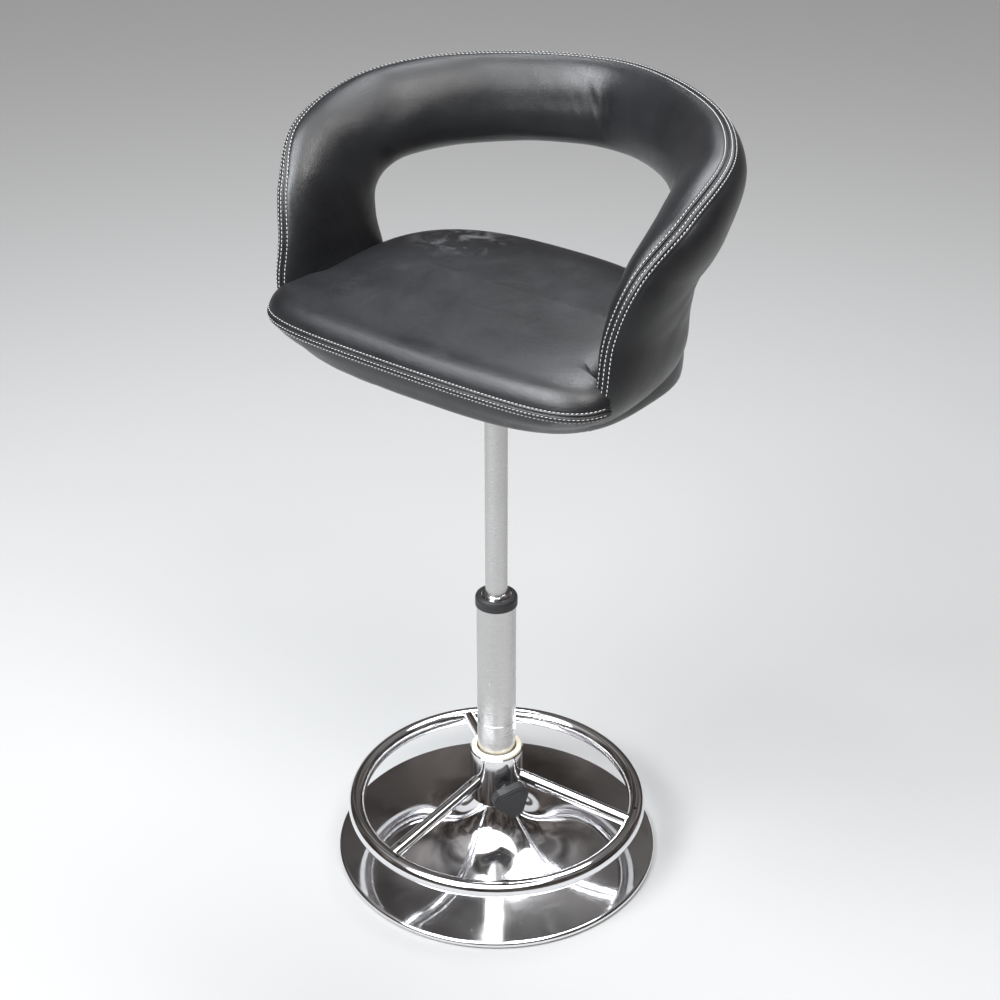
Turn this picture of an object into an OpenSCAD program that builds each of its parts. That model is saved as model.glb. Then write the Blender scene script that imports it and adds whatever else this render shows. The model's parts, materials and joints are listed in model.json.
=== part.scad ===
// Height-adjustable counter stool: spun trumpet base, spoked foot ring on a clamped hub,
// gas lift with a swivelling rod, and an upholstered seat with a wrap-around loop back.
// +Z up, origin on the column axis at the floor, the seat faces -Y, the sitter's left is +X.

/* [Base] */
// Outer radius of the trumpet base
base_r = 212; // [170:1:250]
// Height of the collar at the top of the trumpet's neck
neck_h = 82; // [70:1:100]
// Outer radius of the neck below its collar
neck_r = 28; // [27.6:0.1:34]
// Height of the rim's upper shoulder
rim_h = 9; // [7:0.5:16]
// Sheet thickness of the spun cover
cover_t = 1.5; // [1:0.1:2.5]
// Thickness of the steel ballast plate
ballast_t = 5; // [3:0.5:5.5]
// Thickness of the pad on the floor
pad_t = 2.5; // [1.5:0.5:3.5]

/* [Column] */
// Outer diameter of the column tube
column_d = 50; // [48:0.5:52]
// Wall of the column tube
column_wall = 2; // [1.5:0.1:3]
// Height of the column tube's upper end
column_top = 378; // [330:1:430]
// Height of the swaged shoulder's lower edge
shoulder_z = 177; // [165:1:200]
// Height of the swaged shoulder band
shoulder_h = 28; // [15:1:35]
// Length of the guide bush inside the column
guide_len = 75; // [50:1:90]
// Thickness of the guide bush's cap
cap_h = 14; // [8:1:20]

/* [Gas lift] */
// Outer diameter of the pressure tube
lift_d = 28; // [26:0.5:29]
// Wall of the pressure tube
lift_wall = 2; // [1.5:0.1:3]
// Diameter of the piston rod
rod_d = 10; // [8:0.5:12]
// Travel of the seat from the top to the bottom
stroke = 240; // [160:5:242]

/* [Foot ring] */
// Radius of the foot ring's centreline
ring_r = 186; // [160:1:196]
// Diameter of the foot ring's tube
ring_d = 22; // [18:1:25]
// Height of the foot ring's centreline
ring_z = 75; // [60:1:95]
// Outer diameter of the hub
hub_d = 69; // [66:0.5:76]
// Length of the hub
hub_h = 75; // [70:1:90]
// Outer diameter of the two bushes
bush_d = 62; // [58:0.5:63]
// Diameter of a spoke
spoke_d = 16.5; // [12:0.5:18]
// Height of the spokes' axes at the hub's surface
spoke_z = 116; // [105:1:126]
// Direction of the first spoke
spoke_a = 20.7; // [0:0.1:40]
// Height of the clamp screw
clamp_z = 108; // [104:0.5:116]
// Direction of the clamp screw
clamp_a = -31; // [-60:0.5:0]
// Distance across the clamp knob's lobes
knob_w = 48; // [38:1:56]
// Thickness of the clamp knob
knob_t = 20; // [14:1:26]

/* [Seat] */
// Width of the seat across its front corners
seat_w = 492; // [430:1:560]
// Distance of the front edge's corners in front of the column axis
seat_front = 162; // [130:1:190]
// Distance of the rear edge behind the column axis
seat_rear = 152; // [130:1:190]
// Height of the board's underside
board_z = 718; // [712:1:750]
// Thickness of the plywood board
board_t = 12; // [9:0.5:15]
// Height of the seat's crown above the board's underside
seat_h = 80; // [60:1:90]
// Rise of the rear edge above the front edge
seat_rise = 18; // [0:1:30]

/* [Loop back] */
// Top of the loop above the board's underside
loop_rise = 293; // [240:1:340]
// Distance of the loop's top edge behind the column axis
loop_back = 238; // [210:1:280]
// Height of the padded band at the back
band_h = 101; // [80:1:125]
// Thickness of the padding on the sitter's side
pad_in = 27; // [20:1:34]
// Thickness of the padding on the outer side
pad_out = 22; // [16:1:28]
// Diameter of the steel tube inside the loop
frame_d = 16; // [12:1:19]

/* [Mechanism] */
// Width and depth of the mounting plate
plate_size = [200, 160];
// Thickness of the mounting plate
plate_t = 4; // [3:0.5:5]
// Bolt spacing of the mounting plate
bolt_gap = [160, 120];
// Length of the taper socket
socket_len = 55; // [45:1:56]
// Distance from the pin's axis to the valve's axis
lever_arm = 38; // [30:1:44]
// Length of the lever from its pin to the end of its grip
lever_len = 160; // [110:1:175]

/* [Clearances] */
// Radial running clearance between turning or sliding metal and plastic
run = 0.05; // [0.02:0.01:0.1]
// Gap left between pieces that only pass each other
gap = 0.3; // [0.2:0.05:0.6]

/* [Hidden] */
$fn = 64;

// ---- base ----
lip_r = rim_h / 2;                 // rounding of the rim
flare_end = base_r - lip_r;        // where the flare meets the rim
flare_soft = 5;                    // shifts the hyperbola that draws the flare
collar_h = 3;
collar_out = 2;
socket_wall = 2;
swage_r = neck_r - cover_t - socket_wall - 0.1;   // column radius inside the stem socket
ballast_top = pad_t + ballast_t;
column_foot = ballast_top + 5;
column_r = column_d / 2;
column_bore = column_r - column_wall;
floor_t = 4;
floor_z = column_foot + 12;        // underside of the column's welded floor
cap_top = column_top + cap_h;
cap_r = column_r + 1.6;

// ---- gas lift ----
lift_r = lift_d / 2;
lift_bore = lift_r - lift_wall;
rod_r = rod_d / 2;
race_t = 2.5;
cage_t = 4;
race_r = column_bore - 4;
race_z = floor_z + floor_t;
rod_shoulder = race_z + 2 * race_t + cage_t;
bumper_h = 8;
bumper_gap = 3;
lift_foot = rod_shoulder + bumper_h + bumper_gap + stroke;   // lower end of the pressure tube
gland_h = 12;
seal_h = 5;
piston_z = lift_foot + gland_h + seal_h + 5;
piston_h = 18;
wiper_h = 4;

// ---- mechanism, measured down from the board ----
plate_z = board_z - plate_t;
lift_top = plate_z - 12;           // top of the pressure tube
taper_len = 40;
taper_in = 0.8;
socket_foot = plate_z - socket_len;
valve_r = 3;
valve_up = 6;                      // valve pin stands this far above the pressure tube
lever_z = lift_top + 4;            // height of the lever's pin
lever_t = 4;
valve_play = 0.5;

// ---- foot ring ----
hub_foot = neck_h + gap;
hub_top = hub_foot + hub_h;
hub_r = hub_d / 2;
bush_r = bush_d / 2;
bush_bore = column_r + 0.6;
bush_len = 16;
flange_h = 3.5;
spoke_drop = spoke_z - ring_z;
spoke_run = ring_r - hub_r;
spoke_tilt = atan(spoke_drop / spoke_run);
spoke_wall = 1.5;
ring_wall = 2;
vent_d = 4;
pad_tip = column_r + gap;
pad_len = 4;
stud_r = 4;
boss_r = 9;
boss_out = hub_r + 7;
knob_foot = boss_out + 1.5;

// ---- seat and loop ----
half_w = seat_w / 2;
front_bow = 5;
wing_tuck = 42;                    // how far the wings draw in at their lower edge
front_tuck = 12;                   // how far the front draws in there
arm_y = -seat_front + 46;          // where the arm's front edge stands on the seat
seat_z = board_z + 1;              // lower edge of the upholstery
crown_z = board_z + seat_h;
loop_top = board_z + loop_rise;
foot_z = board_z + 4;
board_share = 0.91;                // board's outline as a share of the seat's
recess_share = 0.915;
cover_share = 0.88;
board_step = 34;                   // length over which the board widens in front of the arms
skin_t = 3;

function clamp01(v) = min(max(v, 0), 1);
function unit(v) = v / norm(v);
function mirrored(P) = concat(P, [for (i = [len(P) - 2:-1:0]) [-P[i][0], P[i][1], P[i][2]]]);

// Smooth curve through the points P, for t from 0 to 1.
function spline(P, t) =
  let (n = len(P) - 1, u = clamp01(t) * n, i = min(floor(u), n - 1), f = u - i,
       a = i == 0 ? 2 * P[0] - P[1] : P[i - 1], b = P[i], c = P[i + 1],
       d = i == n - 1 ? 2 * P[n] - P[n - 1] : P[i + 2])
  0.5 * (2 * b + (c - a) * f + (2 * a - 5 * b + 4 * c - d) * f * f
         + (3 * b - a - 3 * c + d) * f * f * f);

// Radius r of the trumpet to its height: a hyperbola from the neck to the rim.
function flare_z(r) =
  rim_h + (neck_h - collar_h - rim_h) * (1 / (r + flare_soft) - 1 / (flare_end + flare_soft))
        / (1 / (neck_r + flare_soft) - 1 / (flare_end + flare_soft));
function flare_slope(r) = (flare_z(r + 0.1) - flare_z(r - 0.1)) / 0.2;
// Point on the flare, moved inward by t along its normal.
function flare_point(r, t) =
  let (s = flare_slope(r), l = sqrt(1 + s * s)) [r + t * s / l, flare_z(r) - t / l];
// Radii that crowd together at the neck, where the curve is tight.
function flare_radii(n) = [for (i = [0:n]) neck_r + (flare_end - neck_r) * pow(i / n, 2)];

// Superellipse: power of a cosine or sine that keeps its sign.
function spow(v, p) = sign(v) * pow(abs(v), p);

// Plan outline of the seat at angle a: squarish wings in front of the arms, a waist between them, a round rear.
// Towards the lower edge (tuck from 0 to 1) the wings draw in and their corners turn rounder.
// They stand out within step of the arms.
function wing(y, waist, tuck, step) =
  waist + (max(half_w - tuck * wing_tuck, waist) - waist) * clamp01((arm_y - 1 - y) / step);
function seat_plan(a, waist, tuck, step) =
  let (n = sin(a) < 0 ? 6.5 - 3 * tuck : 2.7, c = spow(cos(a), 2 / n), s = spow(sin(a), 2 / n),
       y = s * (s < 0 ? seat_front - front_tuck * tuck : seat_rear), x = c * wing(y, waist, tuck, step))
  [x, y - (s < 0 ? front_bow * (1 - pow(x / half_w, 2)) * clamp01(-s) : 0)];

// The loop's two guiding edges, from the sitter's left foot to the middle of the back.
// Each point is its distance past the seat's half width, its share of the way back and its share of the rise.
edge_front = [[-46, 0.05, 0], [-18, 0, 0.174], [-15, 0.028, 0.396], [1, 0.09, 0.611],
              [24, 0.243, 0.806], [6, 0.542, 0.934], [-86, 0.819, 0.99], [-half_w, 1, 1]];
edge_rear = [[-64, 0.45, 0], [-33, 0.495, 0.283], [-24, 0.47, 0.577], [-26, 0.474, 0.78],
             [-43, 0.576, 0.914], [-86, 0.749, 0.968], [-161, 0.922, 0.995], [-half_w, 0.994, 1]];
function edge_points(E, top, back) =
  mirrored([for (e = E) [half_w + e[0], arm_y + e[1] * (back - arm_y), foot_z + e[2] * (top - foot_z)]]);
top_edge = edge_points(edge_front, loop_top, loop_back);
low_edge = edge_points(edge_rear, loop_top - band_h, loop_back - 20);
in_list = mirrored([for (k = [18, 22, 24, 28, 32, 32, 29, 27]) [0, pad_in * k / 27, 0]]);
out_list = mirrored([for (k = [11, 26, 31, 36, 42, 36, 26, 22]) [0, pad_out * k / 22, 0]]);
function loop_mid(t) = (spline(top_edge, t) + spline(low_edge, t)) / 2;
function loop_dir(t) = unit(loop_mid(t + 0.004) - loop_mid(t - 0.004));
// At the two feet a point slides along the loop onto the level of the board.
function stand(p, t) =
  t > 0 && t < 1 ? p : let (d = loop_dir(clamp01(t))) p + d * (foot_z - p[2]) / d[2];
// One ring of the loop's skin at t, grown by g.
function loop_ring(t, g, n) =
  let (u = clamp01(t), w = (spline(top_edge, u) - spline(low_edge, u)) / 2, m = loop_mid(u),
       out = unit(cross(loop_dir(u), w)), a = norm(w) + g,
       ti = spline(in_list, u)[1] + g, to = spline(out_list, u)[1] + g)
  [for (k = [0:n - 1])
     let (c = spow(cos(360 * k / n), 0.87), s = spow(sin(360 * k / n), 0.87))
     stand(m + unit(w) * a * c + out * (s > 0 ? to : ti) * s, t)];

// Half width that the arms' feet leave free between them, by height.
arm_steps = [for (i = [0:8])
               let (t = i * 0.025) [loop_mid(t)[2], min([for (p = loop_ring(t, gap, 20)) p[0]])]];
function arm_inner(z) = min(lookup(z - 6, arm_steps), lookup(z, arm_steps), lookup(z + 6, arm_steps)) - 1;

// Closed solid through a list of rings with the same number of points.
module skin(rings) {
  n = len(rings[0]);
  m = len(rings);
  points = [for (r = rings) each r];
  sides = [for (i = [0:m - 2], j = [0:n - 1])
             let (k = (j + 1) % n)
             each [[i * n + j, (i + 1) * n + k, i * n + k],
                   [i * n + j, (i + 1) * n + j, (i + 1) * n + k]]];
  first = [for (j = [0:n - 1]) j];
  last = [for (j = [n - 1:-1:0]) (m - 1) * n + j];
  polyhedron(points, concat(sides, [first], [last]), convexity = 8);
}

module ring(r_out, r_in, z, h) {
  translate([0, 0, z])
    difference() {
      cylinder(h = h, r = r_out);
      translate([0, 0, -1])
        cylinder(h = h + 2, r = r_in);
    }
}

module disc(r, z, h) {
  translate([0, 0, z])
    cylinder(h = h, r = r);
}

// Lays a child that is built along +Z out along a level direction at height z.
module radial(a, z) {
  translate([0, 0, z])
    rotate([0, 0, a])
      rotate([0, 90, 0])
        children();
}

// ---- base ----
module floor_pad() {
  color("#202020")
    disc(base_r - 10, 0, pad_t);
}

module ballast_plate() {
  color("#5a5a5a")
    disc(base_r - 26, pad_t, ballast_t);
}

module base_cover() {
  radii = flare_radii(26);
  outside = [for (r = radii) flare_point(r, 0)];
  inside = [for (i = [len(radii) - 1:-1:0]) flare_point(radii[i], cover_t)];
  rim = [for (a = [80:-20:-60]) [flare_end + lip_r * cos(a), rim_h - lip_r + lip_r * sin(a)]];
  rim_back = [[flare_end - 1, 1], [flare_end - 5, 1], [flare_end - 5, rim_h - cover_t - 1.4]];
  neck = [[neck_r - cover_t, neck_h], [neck_r + collar_out - 1, neck_h],
          [neck_r + collar_out, neck_h - 1], [neck_r + collar_out, neck_h - collar_h + 1],
          [neck_r + 0.6, neck_h - collar_h]];
  color("#d8d8dc")
    rotate_extrude($fn = 128)
      polygon(concat(neck, outside, rim, rim_back,
                     [for (p = inside) if (p[0] < flare_end - 6) [max(p[0], neck_r - cover_t), p[1]]]));
}

module stem_socket() {
  flange_r = 45;
  color("#77777a") {
    ring(swage_r + socket_wall, swage_r, ballast_top, neck_h - 3 - ballast_top);
    ring(flange_r, swage_r + socket_wall - 0.5, ballast_top, 4);
  }
}

module column_tube() {
  swage_top = shoulder_z - 2;
  groove = 0.5;
  profile = [[swage_r, column_foot], [swage_r, neck_h], [column_r - 0.7, swage_top],
             [column_r - 0.9, shoulder_z - 1], [column_r, shoulder_z],
             [column_r, shoulder_z + shoulder_h - 1.5], [column_r - groove, shoulder_z + shoulder_h - 1],
             [column_r - groove, shoulder_z + shoulder_h], [column_r, shoulder_z + shoulder_h + 0.5],
             [column_r, column_top - 1], [column_r - 1, column_top],
             [column_bore, column_top], [column_bore, neck_h + 20], [swage_r - column_wall, neck_h + 4],
             [swage_r - column_wall, column_foot]];
  color("#c4c4c8")
    rotate_extrude($fn = 96)
      polygon(profile);
}

module column_floor() {
  color("#77777a")
    ring(swage_r - column_wall, rod_r + run, floor_z, floor_t);
}

module guide_bush() {
  color("#18181a")
    rotate_extrude($fn = 96)
      polygon([[lift_r + run, column_top - guide_len], [column_bore - 2, column_top - guide_len],
               [column_bore - 0.1, column_top - guide_len + 3], [column_bore - 0.1, column_top + 0.1],
               [cap_r, column_top + 0.1], [cap_r, cap_top - 4], [cap_r - 1, cap_top - 1.6],
               [cap_r - 3.4, cap_top], [lift_r + 6, cap_top], [lift_r + 6, cap_top - wiper_h],
               [lift_r + run, cap_top - wiper_h]]);
}

module wiper_ring() {
  color("#c8c8cc")
    rotate_extrude($fn = 96)
      polygon([[lift_r + run, cap_top - wiper_h], [lift_r + 6, cap_top - wiper_h],
               [lift_r + 6, cap_top - 0.5], [lift_r + 4, cap_top + 2.5], [lift_r + 1.5, cap_top + 3],
               [lift_r + run, cap_top + 2]]);
}

module lower_race() {
  color("#b0b0b4")
    ring(race_r, rod_r + gap, race_z, race_t);
}

module ball_cage() {
  balls = 9;
  ball_r = cage_t / 2;
  pitch_r = (race_r + rod_r) / 2;
  color("#d0b060") {
    difference() {
      ring(race_r - 2, rod_r + 2, race_z + race_t + 1, cage_t - 2);
      for (i = [0:balls - 1])
        rotate([0, 0, i * 360 / balls])
          translate([pitch_r, 0, race_z + race_t])
            cylinder(h = cage_t, r = ball_r + 0.1);
    }
    for (i = [0:balls - 1])
      rotate([0, 0, i * 360 / balls])
        translate([pitch_r, 0, race_z + race_t + ball_r])
          sphere(r = ball_r, $fn = 24);
  }
}

module rod_clip() {
  color("#44444a")
    difference() {
      ring(rod_r + 4, rod_r + run, floor_z - 1.5, 1.2);
      translate([0, -1.5, floor_z - 3])
        cube([rod_r + 6, 3, 5]);
    }
}

// ---- gas lift: the rod turns on the thrust bearing, the pressure tube slides on the rod ----
module piston_rod() {
  shoulder_r = rod_r + 3;
  color("#c0c0c4") {
    disc(rod_r, floor_z - 4, piston_z + piston_h - floor_z + 8);
    disc(shoulder_r, rod_shoulder, 3);
  }
}

module piston_head() {
  groove_z = piston_z + piston_h / 2 - 2;
  color("#8a8a90")
    difference() {
      ring(lift_bore - run, rod_r, piston_z, piston_h);
      difference() {
        disc(lift_bore + 1, groove_z, 4);
        disc(lift_bore - 2, groove_z - 1, 6);
      }
    }
}

module piston_seal() {
  color("#101010")
    ring(lift_bore - run / 2, lift_bore - 2, piston_z + piston_h / 2 - 1.9, 3.8);
}

module upper_race() {
  color("#b0b0b4")
    ring(race_r, rod_r, race_z + race_t + cage_t, race_t);
}

module rubber_bumper() {
  color("#101010")
    difference() {
      ring(lift_r, rod_r, rod_shoulder, bumper_h);
      disc(rod_r + 3, rod_shoulder - 1, 4);
    }
}

// ---- foot ring ----
module lower_bush() {
  color("#e8e2cf")
    ring(bush_r - run, bush_bore, hub_foot, bush_len);
}

module upper_bush() {
  flange_r = bush_r + 1.6;
  color("#e8e2cf")
    rotate_extrude($fn = 96)
      polygon([[bush_bore, hub_top - bush_len], [bush_r - run, hub_top - bush_len],
               [bush_r - run, hub_top + 0.1], [flange_r, hub_top + 0.1],
               [flange_r, hub_top + flange_h - 1.2], [flange_r - 1.2, hub_top + flange_h],
               [bush_bore + 1, hub_top + flange_h], [bush_bore, hub_top + flange_h - 1]]);
}

module ring_hub() {
  edge = 1.2;
  color("#d8d8dc")
    difference() {
      rotate_extrude($fn = 128)
        polygon([[bush_r, hub_foot], [hub_r - edge, hub_foot], [hub_r, hub_foot + edge],
                 [hub_r, hub_top - edge], [hub_r - edge, hub_top], [bush_r, hub_top]]);
      radial(clamp_a, clamp_z)
        cylinder(h = hub_r + 5, r = stud_r + gap);
    }
}

module spoke_line() {
  translate([hub_r, 0, spoke_z])
    rotate([0, 90 + spoke_tilt, 0])
      children();
}

module ring_spokes() {
  reach = norm([spoke_run, spoke_drop]);
  color("#d8d8dc")
    for (k = [0:2])
      rotate([0, 0, spoke_a + 120 * k])
        difference() {
          spoke_line()
            translate([0, 0, -10])
              cylinder(h = reach + 10, r = spoke_d / 2, $fn = 48);
          spoke_line()
            translate([0, 0, -12])
              cylinder(h = reach + 14, r = spoke_d / 2 - spoke_wall, $fn = 48);
          disc(hub_r, spoke_z - 40, 80);
          rotate_extrude($fn = 128)
            translate([ring_r, ring_z])
              circle(r = ring_d / 2, $fn = 48);
          for (d = [10, reach - ring_d / 2 - 9])
            spoke_line()
              translate([0, 0, d])
                rotate([0, -90, 0])
                  cylinder(h = spoke_d, r = vent_d / 2, $fn = 24);
        }
}

module foot_ring() {
  color("#d8d8dc")
    difference() {
      rotate_extrude($fn = 128)
        translate([ring_r, ring_z])
          difference() {
            circle(r = ring_d / 2, $fn = 48);
            circle(r = ring_d / 2 - ring_wall, $fn = 48);
          }
      for (k = [0:2])
        rotate([0, 0, spoke_a + 120 * k + 5])
          translate([ring_r, 0, ring_z])
            cylinder(h = ring_d, r = vent_d / 2, $fn = 24);
    }
}

module clamp_boss() {
  color("#d8d8dc")
    difference() {
      radial(clamp_a, clamp_z)
        translate([0, 0, hub_r - 4])
          cylinder(h = boss_out - hub_r + 4, r = boss_r);
      disc(hub_r, clamp_z - 20, 40);
      radial(clamp_a, clamp_z)
        cylinder(h = boss_out + 5, r = stud_r + run);
    }
}

module clamp_pad() {
  color("#e8e2cf")
    radial(clamp_a, clamp_z)
      translate([0, 0, pad_tip])
        cylinder(h = pad_len, r = stud_r - 0.5, $fn = 32);
}

module clamp_stud() {
  color("#a8a8ac")
    radial(clamp_a, clamp_z)
      translate([0, 0, pad_tip + pad_len])
        cylinder(h = knob_foot + knob_t - 6 - pad_tip - pad_len, r = stud_r, $fn = 32);
}

// Rounded triangle with its corners at r_out.
module lobes(r_out) {
  lobe_r = r_out * 0.46;
  hull()
    for (k = [0:2])
      rotate([0, 0, 120 * k])
        translate([r_out - lobe_r, 0])
          circle(r = lobe_r, $fn = 32);
}

module clamp_knob() {
  lobe_a = -105;
  neck = 3;
  layers = [[0, 0.93], [0.12, 1], [0.6, 1], [0.82, 0.93], [0.94, 0.8]];
  body_t = knob_t - neck;
  color("#1c1c1e")
    radial(clamp_a, clamp_z)
      difference() {
        union() {
          translate([0, 0, knob_foot])
            cylinder(h = neck + 1, r = boss_r);
          for (i = [0:len(layers) - 1])
            translate([0, 0, knob_foot + neck + layers[i][0] * body_t])
              rotate([0, 0, lobe_a])
                linear_extrude((i == len(layers) - 1 ? 1 : layers[i + 1][0]) * body_t
                               - layers[i][0] * body_t)
                  lobes(knob_w * 0.54 * layers[i][1]);
        }
        translate([0, 0, knob_foot - 1])
          cylinder(h = knob_t - 5, r = stud_r, $fn = 32);
      }
}

// ---- pressure tube and mechanism, which ride with the seat ----
module pressure_tube() {
  top_t = 10;
  color("#b4b4b8")
    rotate_extrude($fn = 96)
      polygon([[lift_bore, lift_foot], [lift_r - 0.8, lift_foot], [lift_r, lift_foot + 1.5],
               [lift_r, lift_top - taper_len], [lift_r - taper_in, lift_top],
               [valve_r + run, lift_top], [valve_r + run, lift_top - top_t],
               [lift_bore, lift_top - top_t]]);
}

module rod_gland() {
  color("#8a8a90")
    ring(lift_bore, rod_r + run, lift_foot + 1, gland_h - 1);
}

module rod_seal() {
  color("#101010")
    ring(lift_bore, rod_r + run, lift_foot + gland_h, seal_h);
}

module taper_socket() {
  wall = 6;
  slot_w = 13;
  top_r = lift_r - taper_in;
  color("#2a2a2c")
    difference() {
      rotate_extrude($fn = 96)
        polygon([[lift_r + gap, socket_foot], [lift_r + wall, socket_foot],
                 [lift_r + wall, plate_z], [top_r, plate_z], [top_r, lift_top],
                 [lift_r, lift_top - taper_len], [lift_r + gap, lift_top - taper_len]]);
      translate([-lift_r - wall - 1, -slot_w / 2, lever_z - 6])
        cube([lift_r + wall + 1, slot_w, plate_z - lever_z + 7]);
    }
}

module at_bolts(gap_xy) {
  for (sx = [-1, 1], sy = [-1, 1])
    translate([sx * gap_xy[0] / 2, sy * gap_xy[1] / 2, 0])
      children();
}

module plate_outline() {
  corner = 10;
  hull()
    for (sx = [-1, 1], sy = [-1, 1])
      translate([sx * (plate_size[0] / 2 - corner), sy * (plate_size[1] / 2 - corner)])
        circle(r = corner, $fn = 32);
}

module mounting_plate() {
  flange_h = 14;
  bolt_hole = 4.25;
  lever_slot = [24, 13];
  color("#2a2a2c") {
    difference() {
      translate([0, 0, plate_z])
        linear_extrude(plate_t)
          plate_outline();
      at_bolts(bolt_gap)
        translate([0, 0, plate_z - 1])
          cylinder(h = plate_t + 2, r = bolt_hole);
    }
    for (s = [-1, 1])
      translate([-plate_size[0] / 2 + 12, s * (plate_size[1] / 2 - 1.5) - 1.5, plate_z - flange_h])
        cube([plate_size[0] - 24, 3, flange_h]);
  }
}

module plate_bolts() {
  head_t = 5.5;
  shank = 16;
  color("#303034")
    at_bolts(bolt_gap)
      translate([0, 0, plate_z - 1.6 - head_t]) {
        difference() {
          cylinder(h = head_t, r = 6.5, $fn = 6);
          translate([0, 0, -1])
            cylinder(h = 3.5, r = 2.9, $fn = 6);
        }
        cylinder(h = head_t + shank, r = 4, $fn = 32);
      }
}

module plate_washers() {
  color("#909094")
    at_bolts(bolt_gap)
      ring(8.5, 4.2, plate_z - 1.6, 1.6);
}

module board_nuts() {
  color("#909094")
    at_bolts(bolt_gap) {
      ring(5.5, 4.05, board_z + 1, board_t - 2.5);
      ring(9.5, 4.05, board_z + board_t - 1.5, 1.5);
    }
}

module lever_bracket() {
  ear_t = 3;
  ear_in = 7;
  ear_w = 14;
  color("#2a2a2c")
    for (s = [-1, 1])
      difference() {
        translate([-lever_arm - ear_w / 2, s * (ear_in + ear_t / 2) - ear_t / 2, lever_z - 7])
          cube([ear_w, ear_t, plate_z - lever_z + 7]);
        translate([-lever_arm, 0, lever_z])
          rotate([90, 0, 0])
            cylinder(h = 40, r = 2.5, center = true, $fn = 32);
      }
}

module lever_pin() {
  color("#a8a8ac")
    translate([-lever_arm, 0, lever_z])
      rotate([90, 0, 0])
        cylinder(h = 24, r = 2.5, center = true, $fn = 32);
}

module gas_lever() {
  width = 12;
  blade_z = lift_top + valve_up + valve_play;
  wire_r = 4;
  droop = 5;
  color("#b8b8bc")
    difference() {
      union() {
        translate([-lever_arm, -width / 2, blade_z])
          cube([lever_arm + 4, width, plate_z - blade_z - 2]);
        translate([-lever_arm, 0, lever_z])
          rotate([90, 0, 0])
            cylinder(h = width, r = 5.4, center = true);
        translate([-lever_arm, 0, lever_z])
          rotate([0, -90 - droop, 0])
            cylinder(h = lever_len - 8, r = wire_r, $fn = 32);
      }
      translate([-lever_arm, 0, lever_z])
        rotate([90, 0, 0])
          cylinder(h = width + 2, r = 2.5 + run, center = true, $fn = 32);
    }
}

module lever_grip() {
  droop = 5;
  grip_len = 46;
  color("#18181a")
    translate([-lever_arm, 0, lever_z])
      rotate([0, -90 - droop, 0])
        translate([0, 0, lever_len - grip_len])
          difference() {
            rotate_extrude($fn = 48)
              polygon([[0, 0], [5.6, 0], [6.4, 2], [7.4, grip_len - 8], [6.6, grip_len - 2],
                       [4.5, grip_len], [0, grip_len]]);
            translate([0, 0, -1])
              cylinder(h = grip_len - 7, r = 4, $fn = 32);
          }
}

module valve_pin() {
  color("#b89a50")
    disc(valve_r, lift_top - 14, 14 + valve_up);
}

// ---- seat ----
module board_shape(share) {
  polygon([for (a = [0:4:356]) seat_plan(a, arm_inner(board_z), 1, board_step) * share]);
}

module seat_board() {
  color("#c8a878")
    difference() {
      translate([0, 0, board_z])
        linear_extrude(board_t)
          board_shape(board_share);
      at_bolts(bolt_gap)
        translate([0, 0, board_z - 1])
          cylinder(h = board_t + 2, r = 5.5);
      at_bolts(bolt_gap)
        translate([0, 0, board_z + board_t - 1.5])
          cylinder(h = 3, r = 9.5);
    }
}

module underside_cover() {
  color("#141416")
    difference() {
      translate([0, 0, board_z - skin_t])
        linear_extrude(skin_t)
          difference() {
            board_shape(cover_share);
            offset(delta = 1)
              plate_outline();
            for (s = [-1, 1])
              translate([s * (foot_x - bracket_reach / 2), foot_y])
                square([bracket_reach + 2, bracket_w + 2], center = true);
          }
    }
}

foot_y = loop_mid(0)[1];
foot_x = loop_mid(0)[0];
bracket_w = 40;
bracket_reach = 60;
bracket_t = 4;

// Steel tube that follows the middle of the padded band and stands on two brackets.
module back_frame() {
  sides = 12;
  turns = 56;
  rings = [for (i = [0:turns])
             let (t = i / turns, m = loop_mid(t), d = loop_dir(t),
                  u = unit(cross(d, [d[1], -d[0], 0.01])), v = cross(d, u))
             [for (k = [0:sides - 1])
                stand(m + frame_d / 2 * (cos(360 * k / sides) * u + sin(360 * k / sides) * v), t)]];
  color("#303034")
    skin(rings);
}

module frame_brackets() {
  color("#303034")
    for (s = [-1, 1])
      difference() {
        translate([s * foot_x, foot_y, 0])
          union() {
            translate([0, 0, board_z - bracket_t])
              cylinder(h = foot_z - 0.05 - board_z + bracket_t, r = frame_d / 2 + 2, $fn = 48);
            translate([s > 0 ? -bracket_reach : 0, -bracket_w / 2, board_z - bracket_t])
              cube([bracket_reach, bracket_w, bracket_t]);
          }
        for (d = [-12, 12])
          translate([s * (foot_x - bracket_reach + 12), foot_y + d, board_z - bracket_t - 1])
            cylinder(h = bracket_t + 2, r = 2.75, $fn = 24);
      }
}

module bracket_screws() {
  color("#909094")
    for (s = [-1, 1], d = [-12, 12])
      translate([s * (foot_x - bracket_reach + 12), foot_y + d, board_z - bracket_t - 2.5]) {
        cylinder(h = 2.5, r = 5, $fn = 32);
        cylinder(h = bracket_t + 2.5, r = 2.5, $fn = 24);
      }
}

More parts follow.
